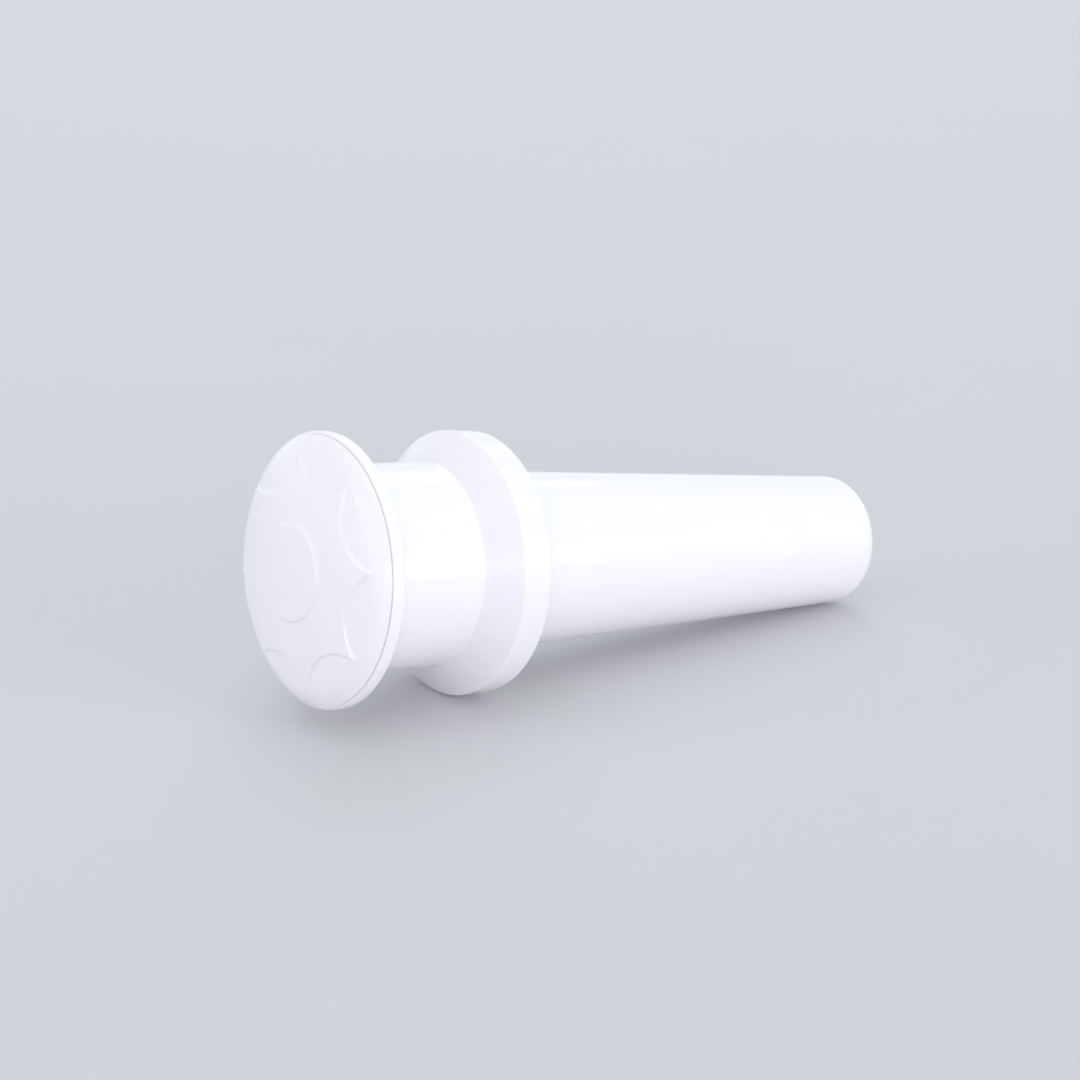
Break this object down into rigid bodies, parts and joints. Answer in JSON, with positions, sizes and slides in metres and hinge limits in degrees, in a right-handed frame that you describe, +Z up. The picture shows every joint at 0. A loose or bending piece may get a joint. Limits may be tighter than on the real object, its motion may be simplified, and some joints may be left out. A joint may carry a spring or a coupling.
{
  "type": "manual pore suction tool",
  "caption": "Hand pore suction tool: domed button, waisted handle with finger flange, and a tapered nose barrel that springs back after it is pressed in.",
  "frame": {"origin": "centre of the bounding box's bottom face; the tool lies on the plane z = 0 on its finger flange and its nose", "axes": "+X runs from the thumb button to the nose along the ground, +Z is up, and +Y completes the right-handed set; the tool's own axis dips 7.466 degrees towards the nose"},
  "size_m": [0.1008, 0.038, 0.0402],
  "materials": {
    "white_gloss": "glossy moulded",
    "natural_plastic": "uncoloured moulded, satin",
    "grey_elastomer": "soft matt",
    "silicone": "soft milky silicone",
    "black_rubber": "greased",
    "aluminium": "drawn and honed tube",
    "steel": "plated"
  },
  "bodies": {
    "handle": {"handle_shell": "white_gloss", "thumb_cap": "white_gloss", "flange_ring": "white_gloss", "bumper_ring": "grey_elastomer", "piston_rod": "natural_plastic", "rod_screw": "steel", "piston_body": "natural_plastic", "piston_seal": "black_rubber", "valve_flap": "silicone", "piston_screw": "steel", "return_spring": "steel"},
    "barrel": {"barrel_shell": "white_gloss", "barrel_head": "natural_plastic", "cylinder_liner": "aluminium", "liner_gasket": "grey_elastomer", "suction_tip": "silicone"}
  },
  "joints": [
    {"name": "barrel_slide", "type": "slide", "parent": "handle", "child": "barrel", "axis": [-0.9915, 0, 0.1299], "range_m": [0, 0.0155], "stiffness_N_per_m": 625, "springref_m": -0.0056, "deforming": ["return_spring"]}
  ]
}
